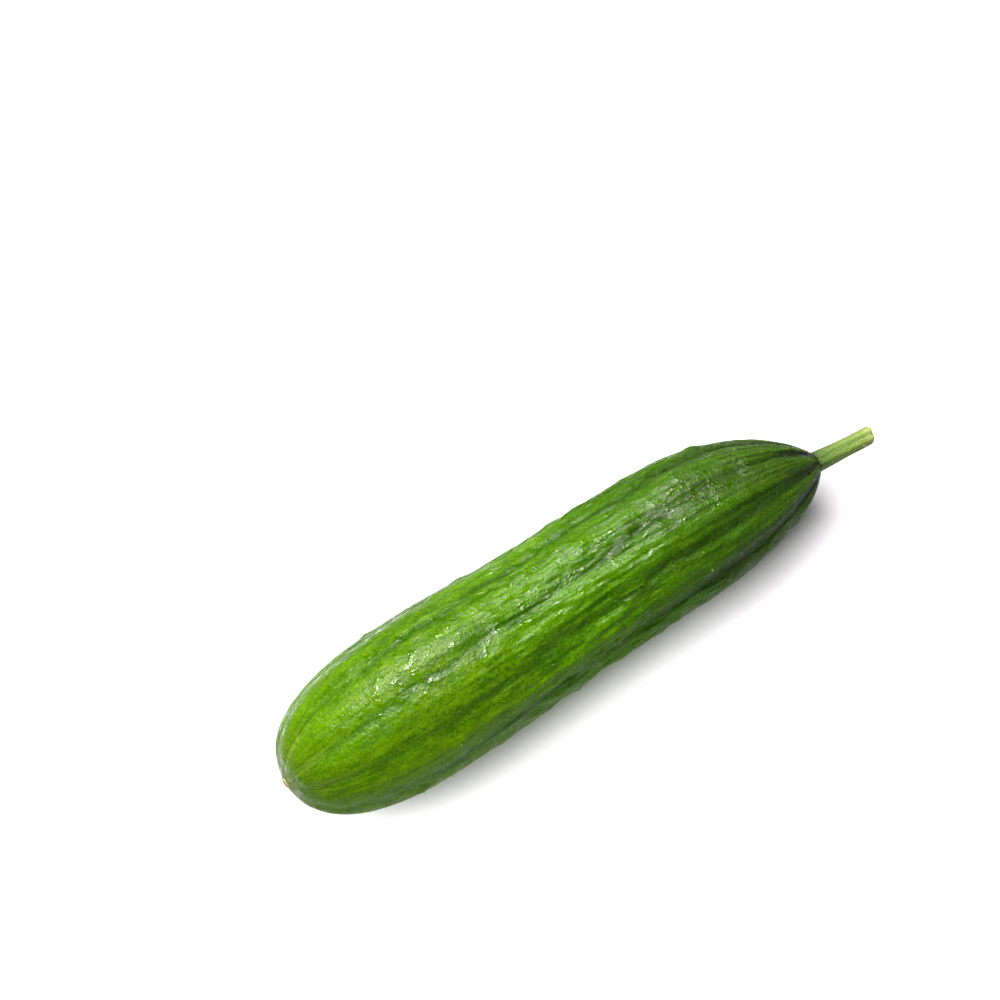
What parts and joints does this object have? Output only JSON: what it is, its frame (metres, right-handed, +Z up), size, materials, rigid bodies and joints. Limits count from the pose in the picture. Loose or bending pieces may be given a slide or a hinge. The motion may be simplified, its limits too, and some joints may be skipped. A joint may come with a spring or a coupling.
{
  "type": "cucumber",
  "caption": "Short garden cucumber with a ribbed, folded and warty skin, a blunt blossom end and a stub of cut stem, lying on its belly.",
  "frame": {"origin": "on the resting surface, under the middle of the whole length and width", "axes": "+X along the cucumber from its blossom end to its stem, +Y to its left side seen from the blossom end, +Z up"},
  "size_m": [0.1774, 0.0414, 0.0393],
  "materials": {
    "fruit_skin": "waxy green skin, lime at the blossom end and dark green at the stem, with fine lengthwise streaks",
    "stem_skin": "pale green ribbed stalk with a paler cut face"
  },
  "bodies": {
    "root": {"fruit": "fruit_skin", "stem": "stem_skin"}
  },
  "joints": []
}
